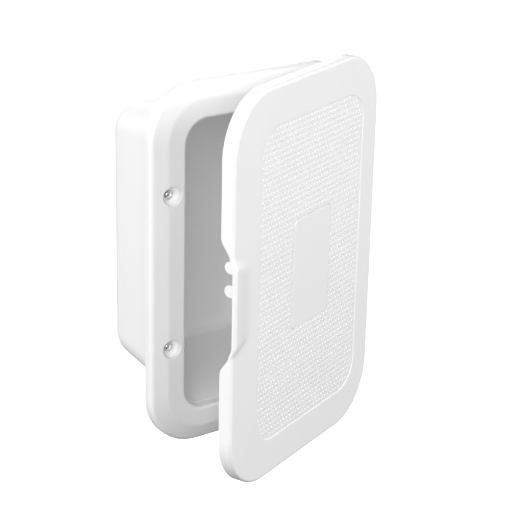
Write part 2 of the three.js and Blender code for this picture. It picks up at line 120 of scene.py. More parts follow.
def eased(section, closed=False, steps=4):
    """A section of (u, v, cut) with its corners rounded, where cut is how far each round reaches."""
    points = []
    last = len(section) - 1
    for i, (u, v, cut) in enumerate(section):
        if cut == 0 or (not closed and i in (0, last)):
            points.append((u, v))
            continue
        corner = Vector((u, v))
        before = Vector(section[i - 1][:2])
        after = Vector(section[(i + 1) % len(section)][:2])
        start = corner + (before - corner).normalized() * cut
        end = corner + (after - corner).normalized() * cut
        for k in range(steps + 1):
            t = k / steps
            p = start * (1 - t) ** 2 + corner * 2 * t * (1 - t) + end * t * t
            points.append((p.x, p.y))
    return points


def to_object(name, bm):
    """Closes up doubled points, turns the faces outward and makes the object."""
    bmesh.ops.remove_doubles(bm, verts=bm.verts, dist=0.002 * MM)
    bmesh.ops.dissolve_degenerate(bm, edges=bm.edges, dist=0.001 * MM)
    bmesh.ops.recalc_face_normals(bm, faces=bm.faces)
    mesh = bpy.data.meshes.new(name)
    bm.to_mesh(mesh)
    bm.free()
    piece = bpy.data.objects.new(name, mesh)
    bpy.context.scene.collection.objects.link(piece)
    return piece


def loft(name, rings, ends="caps"):
    """A mesh through rings of equally many (x, y, z), its ends capped, joined, or points already."""
    bm = bmesh.new()
    loops = [[bm.verts.new((x * MM, y * MM, z * MM)) for x, y, z in ring] for ring in rings]
    pairs = list(zip(loops, loops[1:]))
    if ends == "joined":
        pairs.append((loops[-1], loops[0]))
    for a, b in pairs:
        for i in range(len(a)):
            j = (i + 1) % len(a)
            bm.faces.new((a[i], a[j], b[j], b[i]))
    if ends == "caps":
        bm.faces.new(loops[0])
        bm.faces.new(list(reversed(loops[-1])))
    return to_object(name, bm)


def turned(name, profile, centre, axis="Y", sides=48):
    """A lathe piece: the profile is (radius, distance along the axis), from axis to axis."""
    cx, cy, cz = centre
    rings = []
    for radius, along in profile:
        ring = []
        for k in range(sides):
            a = 2 * math.pi * k / sides
            u, v = radius * math.cos(a), radius * math.sin(a)
            ring.append((cx + u, cy + along, cz + v) if axis == "Y" else (cx + u, cy + v, cz + along))
        rings.append(ring)
    return loft(name, rings, ends="points")


def rod(name, radius, start, end, centre, axis="Y", sides=48):
    return turned(name, ((0, start), (radius, start), (radius, end), (0, end)), centre, axis, sides)


def block(name, low, high):
    """A plain block, used only to join to a piece or to cut it."""
    (x0, y0, z0), (x1, y1, z1) = low, high
    base = ((x0, z0), (x1, z0), (x1, z1), (x0, z1))
    return loft(name, [[(x, y, z) for x, z in base] for y in (y0, y1)])


def combine(piece, tool, operation):
    """Joins the tool to the piece or cuts it away, exactly, and removes the tool."""
    change = piece.modifiers.new("combine", "BOOLEAN")
    change.operation = operation
    change.solver = "EXACT"
    change.object = tool
    made = bpy.data.meshes.new_from_object(piece.evaluated_get(bpy.context.evaluated_depsgraph_get()))
    piece.modifiers.clear()
    old = piece.data
    made.name = piece.name
    piece.data = made
    bpy.data.meshes.remove(old)
    bpy.data.objects.remove(tool)


def join(piece, tool):
    combine(piece, tool, "UNION")


def cut(piece, tool):
    combine(piece, tool, "DIFFERENCE")


def soft_shaded(piece, angle=32):
    """Smooth shading that stays flat on flat faces and crisp at edges sharper than the angle."""
    for face in piece.data.polygons:
        face.use_smooth = True
    piece.data.set_sharp_from_angle(angle=math.radians(angle))
    weighted = piece.modifiers.new("flat_faces", "WEIGHTED_NORMAL")
    weighted.keep_sharp = True
    weighted.weight = 80


def shader_nodes(name):
    """A new material, its node tree, its Principled shader and a maker of further nodes."""
    material = bpy.data.materials.new(name)
    material.use_nodes = True
    tree = material.node_tree
    shader = tree.nodes["Principled BSDF"]

    def node(kind, **values):
        made = tree.nodes.new(kind)
        for key, value in values.items():
            if key in made.inputs:
                made.inputs[key].default_value = value
            else:
                setattr(made, key, value)
        return made

    return material, tree.links.new, shader, node


def moulded_plastic(name, tone, tone_worn, roughness, grain=0.000018, coat=0.08, patches=0.055):
    """White injection-moulded plastic: a spark-eroded grain, faint flow clouding, and dulled patches."""
    material, link, shader, node = shader_nodes(name)
    place = node("ShaderNodeTexCoord")
    clouding = node("ShaderNodeTexNoise", Scale=26.0, Detail=3.0, Roughness=0.55)
    link(place.outputs["Object"], clouding.inputs["Vector"])
    tint = node("ShaderNodeValToRGB")
    tint.color_ramp.elements[0].position = 0.32
    tint.color_ramp.elements[0].color = (*tone_worn, 1)
    tint.color_ramp.elements[1].position = 0.68
    tint.color_ramp.elements[1].color = (*tone, 1)
    link(clouding.outputs["Fac"], tint.inputs["Fac"])
    link(tint.outputs["Color"], shader.inputs["Base Color"])
    rubbed = node("ShaderNodeTexNoise", Scale=95.0, Detail=4.0, Roughness=0.6)
    link(place.outputs["Object"], rubbed.inputs["Vector"])
    gloss = node("ShaderNodeMapRange")
    gloss.inputs["To Min"].default_value = roughness - patches
    gloss.inputs["To Max"].default_value = roughness + patches
    link(rubbed.outputs["Fac"], gloss.inputs["Value"])
    link(gloss.outputs["Result"], shader.inputs["Roughness"])
    fine = node("ShaderNodeTexNoise", Scale=2200.0, Detail=3.0, Roughness=0.7)
    link(place.outputs["Object"], fine.inputs["Vector"])
    bump = node("ShaderNodeBump", Strength=0.55, Distance=grain)
    link(fine.outputs["Fac"], bump.inputs["Height"])
    link(bump.outputs["Normal"], shader.inputs["Normal"])
    shader.inputs["IOR"].default_value = 1.5
    shader.inputs["Coat Weight"].default_value = coat
    shader.inputs["Coat Roughness"].default_value = 0.22
    return material


def finish_piece(piece, material, body, slot, *nodes):
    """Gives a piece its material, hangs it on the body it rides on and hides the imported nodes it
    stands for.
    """
    piece.data.materials.clear()
    piece.data.materials.append(material)
    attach(piece, body)
    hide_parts(*nodes)


def middle(node):
    """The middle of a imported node, in millimetres."""
    low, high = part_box(node)
    return (low + high) / 2 / MM


WALL_SCREWS = sorted(name for name in frame["nodes"] if name.startswith("wall_screw"))
TUB_SCREWS = sorted(name for name in frame["nodes"] if name.startswith("tub_screw"))
HINGE_PINS = sorted(name for name in frame["nodes"] if name.startswith("hinge_pin"))
door_hinge = next(joint for joint in frame["joints"] if joint["name"] == "door_hinge")
HINGE_X, HINGE_Y = (value / MM for value in door_hinge["pos_m"][:2])
AJAR = math.radians(-door_hinge["range_deg"][0])
DOOR_Z = 1.5
HINGE_RISE = 85.0
HINGE_HEIGHTS = (DOOR_Z + HINGE_RISE, DOOR_Z - HINGE_RISE)

rings = []
for inset, y in eased(BEZEL_SECTION, closed=True):
    outline = rounded_outline(BEZEL_W - 2 * inset, BEZEL_H - 2 * inset, BEZEL_R - inset * BEZEL_R_LOSS)
    rings.append([(x, y, z) for x, z in outline])
bezel = loft("bezel_moulding", rings, ends="joined")

FLANGE_X = 76.3                   # half width of the space that the tub's flange takes up
CUP_LIP = ((0, 0.35), (0.12, 0.12), (0.4, -0.05), (1.2, -2.0))    # out from the cup's wall, and y
for name in WALL_SCREWS:
    x, _, z = middle(name)
    boss = rod("boss", BOSS_R, CEILING_Y - 0.1, COLLAR_Y, (x, 0, z))
    foot = rod("foot", BOSS_R, COLLAR_Y - 1, 0, (x, 0, z))
    cut(foot, block("clear", (-FLANGE_X, COLLAR_Y, z - 20), (FLANGE_X, 5, z + 20)))
    join(boss, foot)
    join(bezel, boss)
    profile = [(0, WELL_FLOOR_Y), (WELL_R - 0.2, WELL_FLOOR_Y), (WELL_R, WELL_FLOOR_Y - 0.2),
               (WELL_R, CUP_FLOOR_Y + 0.2), (WELL_R + 0.2, CUP_FLOOR_Y)]
    for k in range(DISH_STEPS + 1):
        a = math.pi / 2 * k / DISH_STEPS
        profile.append((CUP_R - DISH_R * (1 - math.sin(a)), CUP_FLOOR_Y - DISH_R * (1 - math.cos(a))))
    profile += [(CUP_R + out, BAND_Y + y) for out, y in CUP_LIP]
    profile.append((0, BAND_Y - 2))
    cut(bezel, turned("cup", profile, (x, 0, z), sides=64))
    cut(bezel, rod("hole", HOLE_R, WELL_FLOOR_Y - 2, 3, (x, 0, z), sides=32))
for name in TUB_SCREWS:
    x, _, z = middle(name)
    join(bezel, rod("boss", TUB_BOSS_R, CEILING_Y - 1, COLLAR_Y, (x, 0, z), sides=32))
    cut(bezel, rod("hole", TUB_HOLE_R, CEILING_Y + 0.8, 3, (x, 0, z), sides=24))
for z in HINGE_HEIGHTS:
    low, high = z - EAR_LONG / 2, z + EAR_LONG / 2
    ear = rod("ear", KNUCKLE_R, low, high, (HINGE_X, HINGE_Y, 0), axis="Z")
    join(ear, block("web", (BEZEL_W / 2 - 2, HINGE_Y, low), (HINGE_X - 0.6, -2, high)))
    cut(ear, rod("bore", PIN_BORE_R, low - 1, high + 1, (HINGE_X, HINGE_Y, 0), axis="Z"))
    join(bezel, ear)
soft_shaded(bezel)
bezel_white = moulded_plastic("bezel_white_plastic", (0.91, 0.908, 0.911), (0.89, 0.888, 0.891), 0.42)
finish_piece(bezel, bezel_white, "box", "bezel_plastic", "bezel")

# ---- tub -------------------------------------------------------------------------------------
# The deep box that sits in the hole in the wall: a thin-walled white moulding with draft on all
# sides, the most at the top, a rounded back, and a flange screwed inside the bezel's back.

TUB_WALL, TUB_R, TUB_BACK_R = 2.5, 24.0, 12.0
TUB_FRONT, TUB_FLANGE_BACK, TUB_BACK = -3.5, -0.3, 102.5
DRAFT_SIDE, DRAFT_TOP, DRAFT_BOTTOM = 0.105, 0.135, 0.065
FLANGE_WIDE, FLANGE_EASE = 12.0, 0.4
MOUTH_EASE, FLANGE_FILLET = 0.5, 0.8
SCALLOP_R = HOLE_R + 1.6          # the flange is cut clear of each wall screw
BACK_STEPS = 8


def tub_ring(width, height, radius, y):
    """A ring of the tub at depth y, drawn in by the draft."""
    depth = min(max((y - TUB_FLANGE_BACK) / (TUB_BACK - TUB_FLANGE_BACK), 0), 1)
    across = 1 - DRAFT_SIDE * depth
    above, below = 1 - DRAFT_TOP * depth, 1 - DRAFT_BOTTOM * depth
    outline = rounded_outline(width, height, radius)
    return [(x * across, y, z * (above if z > 0 else below)) for x, z in outline]


def rounded_back(width, height, radius, back, round_r):
    """Rings from the wall round the back's edge to the flat of the back."""
    found = []
    for k in range(BACK_STEPS + 1):
        a = math.pi / 2 * k / BACK_STEPS
        inset = round_r * (1 - math.cos(a))
        y = back - round_r * (1 - math.sin(a))
        found.append(tub_ring(width - 2 * inset, height - 2 * inset, radius - inset * 0.6, y))
    return found


outer_w, outer_h = OPENING_W + 2 * TUB_WALL, OPENING_H + 2 * TUB_WALL
inner_r = TUB_R - TUB_WALL
mouth = (OPENING_W + 2 * MOUTH_EASE, OPENING_H + 2 * MOUTH_EASE, inner_r + MOUTH_EASE)
flange_w, flange_h = OPENING_W + 2 * FLANGE_WIDE, OPENING_H + 2 * FLANGE_WIDE
flange_r = OPENING_R + FLANGE_WIDE
flange_face = (flange_w - 2 * FLANGE_EASE, flange_h - 2 * FLANGE_EASE, flange_r - FLANGE_EASE)
fillet = (outer_w + 2 * FLANGE_FILLET, outer_h + 2 * FLANGE_FILLET, TUB_R + FLANGE_FILLET)
inner_back = rounded_back(OPENING_W, OPENING_H, inner_r, TUB_BACK - TUB_WALL, TUB_BACK_R - TUB_WALL)
rings = list(reversed(inner_back))
rings += [tub_ring(OPENING_W, OPENING_H, inner_r, y) for y in (60, 30, 0, TUB_FRONT + MOUTH_EASE)]
rings += [tub_ring(*mouth, TUB_FRONT), tub_ring(*flange_face, TUB_FRONT)]
for y in (TUB_FRONT + FLANGE_EASE, TUB_FLANGE_BACK - FLANGE_EASE):
    rings.append(tub_ring(flange_w, flange_h, flange_r, y))
rings += [tub_ring(*flange_face, TUB_FLANGE_BACK), tub_ring(*fillet, TUB_FLANGE_BACK)]
rings += [tub_ring(outer_w, outer_h, TUB_R, y) for y in (TUB_FLANGE_BACK + 0.9, 30, 60)]
rings += rounded_back(outer_w, outer_h, TUB_R, TUB_BACK, TUB_BACK_R)
tub = loft("tub_moulding", rings)
for name in TUB_SCREWS:
    x, _, z = middle(name)
    cut(tub, rod("hole", TUB_HOLE_R, TUB_FRONT - 1, TUB_FLANGE_BACK + 1, (x, 0, z), sides=24))
for name in WALL_SCREWS:
    x, _, z = middle(name)
    cut(tub, rod("scallop", SCALLOP_R, TUB_FRONT - 1, TUB_FLANGE_BACK + 1, (x, 0, z), sides=40))
soft_shaded(tub)
tub_white = moulded_plastic("tub_white_plastic", (0.95, 0.945, 0.95), (0.935, 0.93, 0.935), 0.5,
                            grain=0.00003, coat=0)
finish_piece(tub, tub_white, "box", "tub_plastic", "tub")

# ---- door ------------------------------------------------------------------------------------
# The hinged lid: a white moulding with a rounded skirt, stiff front plate, a finger notch in the
# free edge where the plate flares forward as a grip, and a sunk field of raised dashes round a
# pocket for the label plate. It is drawn shut and then swung to where the hinge stores it.

DOOR_W, DOOR_H, DOOR_R = 199.0, 300.0, 45.0
DOOR_FRONT, DOOR_REAR, PLATE_REAR = -24.9, -14.1, -21.3
DOOR_WALL, DOOR_EDGE_R = 2.6, 2.4
NOTCH_WIDE, NOTCH_NARROW = 51.5, 38.5
GRIP_UP, GRIP_IN, GRIP_HALF = 2.6, 25.0, 38.0
GRIP_TAPER, GRIP_FADE = 0.35, 8.0  # the grip narrows inward, and fades out over this far at its ends
RAMP_EASE = 0.4                   # share of the notch's ramp that is eased
SLOT_HALF, SLOT_Y = 7.4, -15.7     # the skirt is cut back beside each hinge's ear,
SLOT_X = 90.0                     # on the hinge side only
RIM_ROUND = ((0.7, 0.0), (0.32, 0.12), (0.08, 0.4), (0.0, 0.75))   # inset, and forward of the rim
RIM_DROP = RIM_ROUND[-1][1]
FIELD_W, FIELD_H, FIELD_R, FIELD_X = 144.0, 242.0, 23.0, 6.0
FIELD_Y = DOOR_FRONT + 0.4
LABEL_W, LABEL_H, LABEL_R, LABEL_X = 52.0, 86.0, 4.0, 7.2
LABEL_FLOOR_Y = DOOR_FRONT + 1.6
STRAIGHT_Z = DOOR_H / 2 - DOOR_R   # half of the skirt's straight length
KNUCKLE_LONG = 8.0

door_heights = [-STRAIGHT_Z + 2 * i for i in range(1, int(STRAIGHT_Z))]
for side in (-1, 1):
    for edge in (-SLOT_HALF, SLOT_HALF):
        door_heights += [side * HINGE_RISE + edge - 0.04, side * HINGE_RISE + edge + 0.04]
door_shares = sorted((height + STRAIGHT_Z) / (2 * STRAIGHT_Z) for height in door_heights)


def door_outline(width, height, radius, x=0.0):
    return rounded_outline(width, height, radius, x, DOOR_Z, door_shares, spread(24))


def smooth(value):
    value = min(max(value, 0), 1)
    return value * value * (3 - 2 * value)


def ramp(value):
    """Rises from 0 to 1: eased where it leaves the skirt's edge, then straight to a sharp end."""
    value = min(max(value, 0), 1)
    top = 1 - RAMP_EASE / 2
    if value > RAMP_EASE:
        return (value - RAMP_EASE / 2) / top
    return value * value / (2 * RAMP_EASE) / top


def flare(x, z):
    """How far the plate stands forward of its plane beside the notch."""
    into = x + DOOR_W / 2
    reach = GRIP_HALF - GRIP_TAPER * into
    return GRIP_UP * smooth(1 - into / GRIP_IN) * smooth((reach - abs(z - DOOR_Z)) / GRIP_FADE)


def skirt_edge(x, z):
    """The y of the skirt's rear edge: it steps forward at the finger notch and beside the hinges."""
    up = abs(z - DOOR_Z)
    if x < 0:
        open_share = ramp((NOTCH_WIDE - up) / (NOTCH_WIDE - NOTCH_NARROW))
        return DOOR_REAR + (PLATE_REAR - flare(x, z) - DOOR_REAR) * open_share
    return SLOT_Y if abs(up - HINGE_RISE) < SLOT_HALF and x > SLOT_X else DOOR_REAR


def door_ring(inset, height):
    """A ring this far in from the door's outline, with its y given by a function of x and z."""
    outline = door_outline(DOOR_W - 2 * inset, DOOR_H - 2 * inset, DOOR_R - inset)
    return [(x, height(x, z), z) for x, z in outline]


def plate_back(x, z):
    return PLATE_REAR - flare(x, z)


def skirt_inside(share):
    """The inner wall of the skirt, from its rear edge to the back of the plate."""
    return lambda x, z: skirt_edge(x, z) + (plate_back(x, z) - skirt_edge(x, z)) * share


rings = [door_ring(inset, plate_back) for inset in (28, 24, 20, 17, 14, 11.5, 9, 7, 5, 3.6)]
rings += [door_ring(DOOR_WALL + 0.3, skirt_inside(0.95)), door_ring(DOOR_WALL, skirt_inside(0.85))]
rings += [door_ring(DOOR_WALL, skirt_inside(0.08)), door_ring(DOOR_WALL - 0.15, skirt_inside(0.02))]
rings.append(door_ring(DOOR_WALL - 0.6, skirt_edge))
for inset, drop in RIM_ROUND:
    rings.append(door_ring(inset, lambda x, z, drop=drop: skirt_edge(x, z) - drop))
for share in (0.5, 1.0):
    rings.append(door_ring(0, lambda x, z, share=share: (skirt_edge(x, z) - RIM_DROP) * (1 - share)
                           + (DOOR_FRONT + DOOR_EDGE_R - flare(x, z)) * share))
EDGE_STEPS = 7
for k in range(1, EDGE_STEPS + 1):
    a = math.pi / 2 * k / EDGE_STEPS
    rise = DOOR_EDGE_R * (1 - math.sin(a))
    inset = DOOR_EDGE_R * (1 - math.cos(a))
    rings.append(door_ring(inset, lambda x, z, rise=rise: DOOR_FRONT + rise - flare(x, z)))
face_start = door_outline(DOOR_W - 2 * DOOR_EDGE_R, DOOR_H - 2 * DOOR_EDGE_R, DOOR_R - DOOR_EDGE_R)
face_end = door_outline(FIELD_W, FIELD_H, FIELD_R, FIELD_X)
FACE_STEPS = 20
for k in range(1, FACE_STEPS + 1):
    t = k / FACE_STEPS
    ring = []
    for (x0, z0), (x1, z1) in zip(face_start, face_end):
        x, z = x0 + (x1 - x0) * t, z0 + (z1 - z0) * t
        ring.append((x, DOOR_FRONT - flare(x, z), z))
    rings.append(ring)
FIELD_STEP = ((0.12, DOOR_FRONT + 0.05), (0.3, FIELD_Y - 0.05), (0.45, FIELD_Y))
for inset, y in FIELD_STEP:
    outline = door_outline(FIELD_W - 2 * inset, FIELD_H - 2 * inset, FIELD_R - inset, FIELD_X)
    rings.append([(x, y, z) for x, z in outline])
field_edge = outline
POCKET_EASE = 0.2                  # the pocket's mouth is eased by this much
POCKET_MOUTH = (LABEL_W + 2 * POCKET_EASE, LABEL_H + 2 * POCKET_EASE, LABEL_R + POCKET_EASE, LABEL_X)
label_edge = door_outline(*POCKET_MOUTH)
rings.append([(x, FIELD_Y, z) for x, z in label_edge])
pocket = door_outline(LABEL_W, LABEL_H, LABEL_R, LABEL_X)
rings += [[(x, y, z) for x, z in pocket] for y in (FIELD_Y + POCKET_EASE, LABEL_FLOOR_Y)]
door = loft("door_moulding", rings)

# Two knuckles beside each of the bezel's ears, each with a web to the back of the plate.
for z in HINGE_HEIGHTS:
    for end in (-1, 1):
        near = z + end * (EAR_LONG / 2 + 0.4)
        far = near + end * KNUCKLE_LONG
        low, high = min(near, far), max(near, far)
        knuckle = rod("knuckle", KNUCKLE_R, low, high, (HINGE_X, HINGE_Y, 0), axis="Z")
        web_end = (DOOR_W / 2 - DOOR_WALL / 2, HINGE_Y, high)
        join(knuckle, block("web", (HINGE_X - 1.5, PLATE_REAR - 0.5, low), web_end))
        cut(knuckle, rod("bore", PIN_BORE_R, low - 1, high + 1, (HINGE_X, HINGE_Y, 0), axis="Z"))
        join(door, knuckle)

# Socketed pads on the back of the plate that hold the latch tongues.
TONGUE_X, TONGUE_THICK, TONGUE_W = -61.5, 3.0, 9.5
TONGUE_Z, TONGUE_APART = 6.0, 18.3
TONGUE_HEIGHTS = (TONGUE_Z + TONGUE_APART / 2, TONGUE_Z - TONGUE_APART / 2)
PAD_END, PAD_SIDE, PAD_UP = 3.0, 2.5, 3.0
GAP = 0.3                          # left between pieces that fit into each other
for z in TONGUE_HEIGHTS:
    half = TONGUE_W / 2
    pad = block("pad", (TONGUE_X - PAD_END, PLATE_REAR - 0.5, z - half - PAD_SIDE),
                (TONGUE_X + TONGUE_THICK + PAD_END, PLATE_REAR + PAD_UP, z + half + PAD_SIDE))
    cut(pad, block("socket", (TONGUE_X - GAP, PLATE_REAR, z - half - GAP),
                   (TONGUE_X + TONGUE_THICK + GAP, PLATE_REAR + PAD_UP + 1, z + half + GAP)))
    join(door, pad)

# The field's floor is laid again with a raised dash at every point of a staggered lattice.
DASH_LONG, DASH_WIDE, DASH_UP = 3.9, 1.75, 0.36
DASH_ACROSS, DASH_ROWS = 4.25, 4.2
DASH_LEAN = Vector((-DASH_ACROSS / 2, DASH_ROWS)).normalized()
DASH_CLEAR = 1.0                   # bare margin beside the field's edge and the label
DASH_POINTS = 12
DASH_LEVELS = ((0, 0), (0.22, 0.2), (0.5, 0.33))    # in from a dash's foot, and up from the floor


def dash_ring(cx, cz, inset):
    """Points (x, z) round one dash, a bar with round ends that leans with the lattice."""
    radius = DASH_WIDE / 2 - inset
    reach = (DASH_LONG - DASH_WIDE) / 2
    side = Vector((DASH_LEAN.y, -DASH_LEAN.x))
    points = []
    half = DASH_POINTS // 2
    for end in (1, -1):
        for k in range(half):
            a = math.pi * k / (half - 1)
            offset = DASH_LEAN * (end * (reach + radius * math.sin(a)))
            offset = offset + side * (end * radius * math.cos(a))
            points.append((cx + offset.x, cz + offset.y))
    return points


def inside(x, z, width, height, radius, cx):
    """True within a rounded rectangle centred at cx and at the door's height."""
    u, v = abs(x - cx) - (width / 2 - radius), abs(z - DOOR_Z) - (height / 2 - radius)
    if u > 0 and v > 0:
        return math.hypot(u, v) <= radius
    return u <= radius and v <= radius


def dash_fits(cx, cz):
    for x, z in dash_ring(cx, cz, -DASH_CLEAR):
        if not inside(x, z, FIELD_W, FIELD_H, FIELD_R, FIELD_X):
            return False
        if inside(x, z, LABEL_W, LABEL_H, LABEL_R, LABEL_X):
            return False
    return True


dashes = []
rows = int(FIELD_H / DASH_ROWS / 2) + 1
columns = int(FIELD_W / DASH_ACROSS / 2) + 2
for row in range(-rows, rows + 1):
    for column in range(-columns, columns + 1):
        cx = FIELD_X + (column + (0.5 if row % 2 else 0)) * DASH_ACROSS
        cz = DOOR_Z + row * DASH_ROWS
        if dash_fits(cx, cz):
            dashes.append((cx, cz))

bm = bmesh.new()
bm.from_mesh(door.data)
old_floor = []
for face in bm.faces:
    on_floor = all(abs(vertex.co.y - FIELD_Y * MM) < 1e-6 for vertex in face.verts)
    centre = face.calc_center_median() / MM
    if on_floor and inside(centre.x, centre.z, FIELD_W, FIELD_H, FIELD_R, FIELD_X):
        old_floor.append(face)
bmesh.ops.delete(bm, geom=old_floor, context="FACES_ONLY")
floor_points, floor_edges = [], []
for loop in [field_edge, label_edge] + [dash_ring(cx, cz, 0) for cx, cz in dashes]:
    first = len(floor_points)
    floor_points += [Vector(point) for point in loop]
    floor_edges += [(first + i, first + (i + 1) % len(loop)) for i in range(len(loop))]
laid_points, _, laid_faces, laid_origins, *_ = delaunay_2d_cdt(floor_points, floor_edges, [], 0, 1e-5)
label_start = len(field_edge)
dash_start = label_start + len(label_edge)
floor_verts = [bm.verts.new((p.x * MM, FIELD_Y * MM, p.y * MM)) for p in laid_points]


def loop_of(point):
    """Which loop a floor point came from: 0 the field's edge, 1 the label's, and from 2 the dashes."""
    if point < label_start:
        return 0
    return 1 if point < dash_start else 2 + (point - dash_start) // DASH_POINTS


for face in laid_faces:
    owners = {loop_of(laid_origins[i][0] if laid_origins[i] else -1) for i in face}
    centre = sum((laid_points[i] for i in face), Vector((0, 0))) / len(face)
    in_label = inside(centre.x, centre.y, *POCKET_MOUTH)
    outside = not inside(centre.x, centre.y, FIELD_W, FIELD_H, FIELD_R, FIELD_X)
    in_dash = len(owners) == 1 and max(owners) > 1
    if not (in_label or outside or in_dash):
        bm.faces.new([floor_verts[i] for i in face])
for cx, cz in dashes:
    levels = []
    for inset, up in DASH_LEVELS:
        y = (FIELD_Y - up) * MM
        levels.append([bm.verts.new((x * MM, y, z * MM)) for x, z in dash_ring(cx, cz, inset)])
    for a, b in zip(levels, levels[1:]):
        for i in range(DASH_POINTS):
            j = (i + 1) % DASH_POINTS
            bm.faces.new((a[i], a[j], b[j], b[i]))
    top = bm.verts.new((cx * MM, (FIELD_Y - DASH_UP) * MM, cz * MM))
    for i in range(DASH_POINTS):
        bm.faces.new((levels[-1][i], levels[-1][(i + 1) % DASH_POINTS], top))
bpy.data.objects.remove(door)
door = to_object("door_moulding", bm)


def swung(piece):
    """Turns a piece drawn on the shut door about the hinge to where the door is stored."""
    pivot = Vector((HINGE_X, HINGE_Y, 0)) * MM
    turn = Matrix.Rotation(AJAR, 4, "Z")
    piece.data.transform(Matrix.Translation(pivot) @ turn @ Matrix.Translation(-pivot))
    return piece


swung(door)
soft_shaded(door, angle=40)
door_white = moulded_plastic("door_white_plastic", (0.92, 0.92, 0.92), (0.9, 0.9, 0.9), 0.4)
finish_piece(door, door_white, "door", "door_plastic", "door")

# ---- label plate -----------------------------------------------------------------------------
# A smooth white insert pressed into the pocket in the middle of the door. It is left blank, and
# the gap round it shows as a thin line.

LABEL_EDGE = ((0, LABEL_FLOOR_Y - 0.3), (0, DOOR_FRONT + 0.5), (0.1, DOOR_FRONT + 0.2),
              (0.35, DOOR_FRONT + 0.1), (2.0, DOOR_FRONT + 0.1))
rings = []
for inset, y in LABEL_EDGE:
    label_w, label_h = LABEL_W - 2 * (GAP + inset), LABEL_H - 2 * (GAP + inset)
    outline = door_outline(label_w, label_h, LABEL_R - GAP - inset, LABEL_X)
    rings.append([(x, y, z) for x, z in outline])
label = swung(loft("label_insert", rings))
soft_shaded(label)
label_white = moulded_plastic("label_white_plastic", (0.91, 0.91, 0.91), (0.9, 0.9, 0.9), 0.36,
                              grain=0.000006, coat=0, patches=0.02)
finish_piece(label, label_white, "door", "label_plastic", "label_plate")

# ---- latch tongues ---------------------------------------------------------------------------
# Two springy fingers behind the door at the notch. Their half-round tips click past the rim of
# the opening. Each is a flat moulding with eased edges, held in its pad by the root.

TONGUE_ROOT, TONGUE_TIP = PLATE_REAR + GAP, 7.5
TONGUE_SIDES = ((0.5, 0.0), (0.15, 0.15), (0.0, 0.5),
                (0.0, TONGUE_THICK - 0.5), (0.15, TONGUE_THICK - 0.15), (0.5, TONGUE_THICK))
TIP_STEPS = 24


def tongue_outline(inset):
    """Points (y, z) round a finger: a straight root and a half-round tip."""
    w = TONGUE_W / 2 - inset
    centre = TONGUE_TIP - TONGUE_W / 2
    points = [(TONGUE_ROOT + inset, w), (TONGUE_ROOT + inset, 0), (TONGUE_ROOT + inset, -w)]
    for k in range(TIP_STEPS + 1):
        a = -math.pi / 2 + math.pi * k / TIP_STEPS
        points.append((centre + w * math.cos(a), w * math.sin(a)))
    return points


for level, z in zip(("upper", "lower"), TONGUE_HEIGHTS):
    rings = []
    for inset, across in TONGUE_SIDES:
        rings.append([(TONGUE_X + across, y, z + v) for y, v in tongue_outline(inset)])
    tongue = swung(loft(f"tongue_finger_{level}", rings))
    soft_shaded(tongue)
    finish_piece(tongue, door_white, f"tongue_{level}", "door_plastic", f"latch_tongue_{level}")

# ---- door seal -------------------------------------------------------------------------------
# A grey rubber ring glued to the back of the door's plate. Its soft rounded crown meets the flat
# inner band of the bezel when the door is shut.

SEAL_MID, SEAL_HALF = 7.5, 3.0
CROWN_HALF, CROWN_Y = 1.2, -13.1
SHOULDER_Y = CROWN_Y - 1.0
SEAL_SECTION = ((-SEAL_HALF, PLATE_REAR + GAP, 0.3), (-SEAL_HALF, SHOULDER_Y, 0.5),
                (-CROWN_HALF, CROWN_Y, 0.8), (CROWN_HALF, CROWN_Y, 0.8),
                (SEAL_HALF, SHOULDER_Y, 0.5), (SEAL_HALF, PLATE_REAR + GAP, 0.3))
rings = []
for across, y in eased(SEAL_SECTION, closed=True):
    out = SEAL_MID + across
    outline = rounded_outline(OPENING_W + 2 * out, OPENING_H + 2 * out, OPENING_R + out)
    rings.append([(x, y, z) for x, z in outline])
door_seal = swung(loft("door_seal_ring", rings, ends="joined"))
soft_shaded(door_seal)


def rubber(name, tone, roughness, scale, depth):
    """Rubber or foam: a dull skin with fine pores and a dusty bloom."""
    material, link, shader, node = shader_nodes(name)
    place = node("ShaderNodeTexCoord")
    bloom = node("ShaderNodeTexNoise", Scale=140.0, Detail=4.0, Roughness=0.6)
    link(place.outputs["Object"], bloom.inputs["Vector"])
    tint = node("ShaderNodeValToRGB")
    tint.color_ramp.elements[0].position = 0.35
    tint.color_ramp.elements[0].color = (*[value * 0.85 for value in tone], 1)
    tint.color_ramp.elements[1].position = 0.7
    tint.color_ramp.elements[1].color = (*tone, 1)
    link(bloom.outputs["Fac"], tint.inputs["Fac"])
    link(tint.outputs["Color"], shader.inputs["Base Color"])
    pores = node("ShaderNodeTexVoronoi", Scale=scale)
    link(place.outputs["Object"], pores.inputs["Vector"])
    bump = node("ShaderNodeBump", Strength=0.6, Distance=depth)
    link(pores.outputs["Distance"], bump.inputs["Height"])
    link(bump.outputs["Normal"], shader.inputs["Normal"])
    shader.inputs["Roughness"].default_value = roughness
    shader.inputs["Sheen Weight"].default_value = 0.15
    return material


seal_grey = rubber("seal_grey_rubber", (0.42, 0.43, 0.44), 0.75, 1800.0, 0.00003)
finish_piece(door_seal, seal_grey, "door", "rubber_seal", "door_seal")

# ---- wall seal -------------------------------------------------------------------------------
# A ring of dark closed-cell foam pressed into the groove in the bezel's back, which keeps water
# out of the wall.

